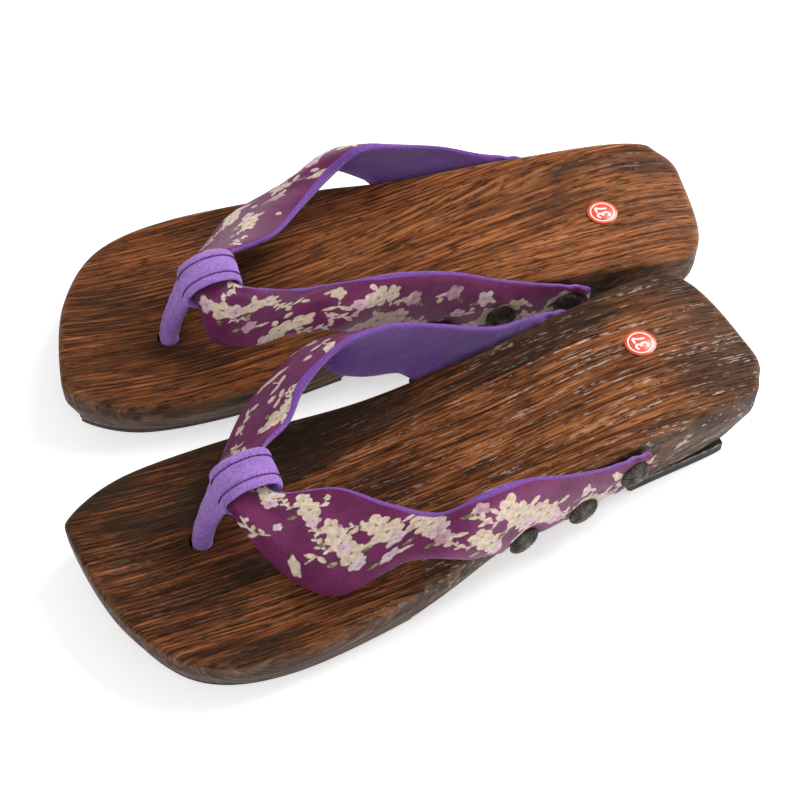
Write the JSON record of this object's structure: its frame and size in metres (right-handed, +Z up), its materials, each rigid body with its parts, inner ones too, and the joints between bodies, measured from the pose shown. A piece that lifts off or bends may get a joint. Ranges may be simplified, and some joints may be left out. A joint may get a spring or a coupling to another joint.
{
  "type": "pair of wooden spa slippers",
  "caption": "Wooden thong slippers with arched plank soles, rubber outsoles and a padded, felt-lined printed cloth strap held by a felt toe loop and domed side nails",
  "frame": {"origin": "middle of the pair's outline, on the ground plane", "axes": "toes point to -Y, heels to +Y, left slipper on +X, +Z up"},
  "size_m": [0.1926, 0.252, 0.0584],
  "materials": {
    "burnt_wood": "scorched and wire-brushed, satin sealed",
    "black_rubber": "matte, lightly textured",
    "printed_cloth": "satin weave with a printed floral pattern",
    "foam": "soft padding, hidden",
    "violet_felt": "brushed felt",
    "cord": "twisted cotton cord",
    "washer_steel": "plain zinc",
    "bronze_nail": "dark antique bronze, fluted dome",
    "label": "gloss paper label"
  },
  "bodies": {
    "left_slipper": {"left_plank_outer": "burnt_wood", "left_plank_middle": "burnt_wood", "left_plank_inner": "burnt_wood", "left_outsole_forefoot": "black_rubber", "left_outsole_heel": "black_rubber", "left_strap_fabric": "printed_cloth", "left_strap_padding": "foam", "left_strap_felt": "violet_felt", "left_toe_loop_felt": "violet_felt", "left_toe_loop_cord": "cord", "left_toe_washer": "washer_steel", "left_nails_outer": "bronze_nail", "left_nails_inner": "bronze_nail", "left_size_label": "label"},
    "right_slipper": {"right_plank_outer": "burnt_wood", "right_plank_middle": "burnt_wood", "right_plank_inner": "burnt_wood", "right_outsole_forefoot": "black_rubber", "right_outsole_heel": "black_rubber", "right_strap_fabric": "printed_cloth", "right_strap_padding": "foam", "right_strap_felt": "violet_felt", "right_toe_loop_felt": "violet_felt", "right_toe_loop_cord": "cord", "right_toe_washer": "washer_steel", "right_nails_outer": "bronze_nail", "right_nails_inner": "bronze_nail", "right_size_label": "label"}
  },
  "joints": [
    {"name": "right_slipper_lift", "type": "slide", "parent": "left_slipper", "child": "right_slipper", "axis": [0, 0, 1], "range_m": [0, 0.12]}
  ]
}
